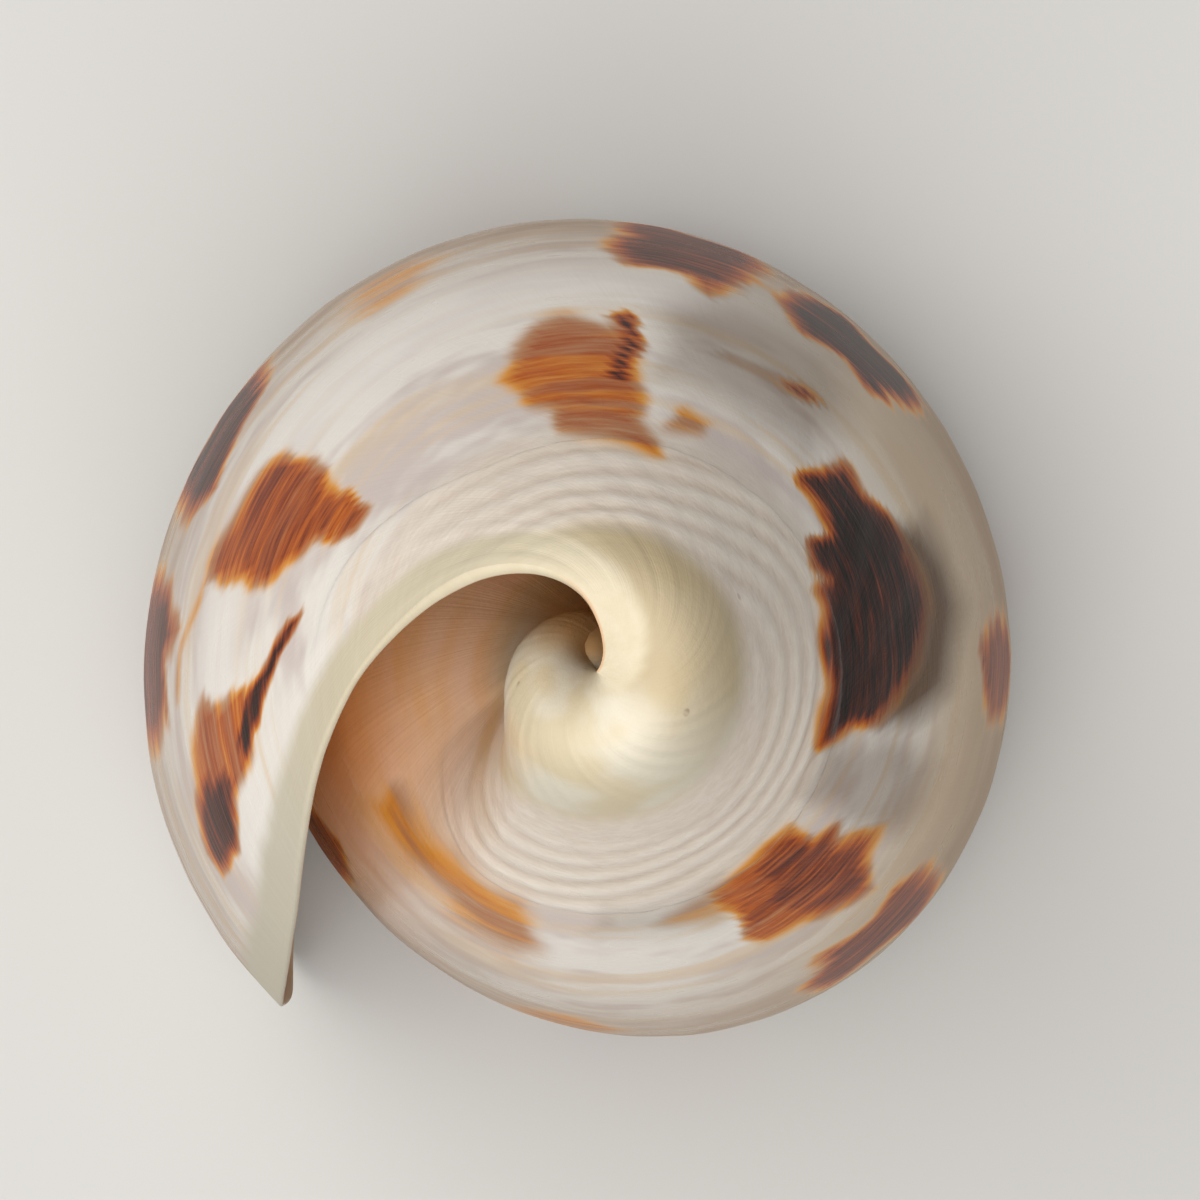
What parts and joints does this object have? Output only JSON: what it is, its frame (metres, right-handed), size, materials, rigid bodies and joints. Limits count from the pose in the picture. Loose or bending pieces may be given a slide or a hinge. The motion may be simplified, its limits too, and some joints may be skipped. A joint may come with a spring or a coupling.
{
  "type": "cone shell",
  "caption": "Dextral cone shell with a flat spire, a long open aperture beside a thin outer lip, and two rows of brown blotches on porcelain white.",
  "frame": {"origin": "centre of the shell's box, at the height of the flat spire that it stands on", "axes": "+Z along the shell's axis towards the narrow front end, +X and +Y across, as right and up in the reference view"},
  "size_m": [0.033, 0.0314, 0.0602],
  "materials": {
    "shell": "porcelain-like shell, white to cream with orange-brown to dark brown blotches"
  },
  "bodies": {
    "root": {"cone_shell": "shell"}
  },
  "joints": []
}
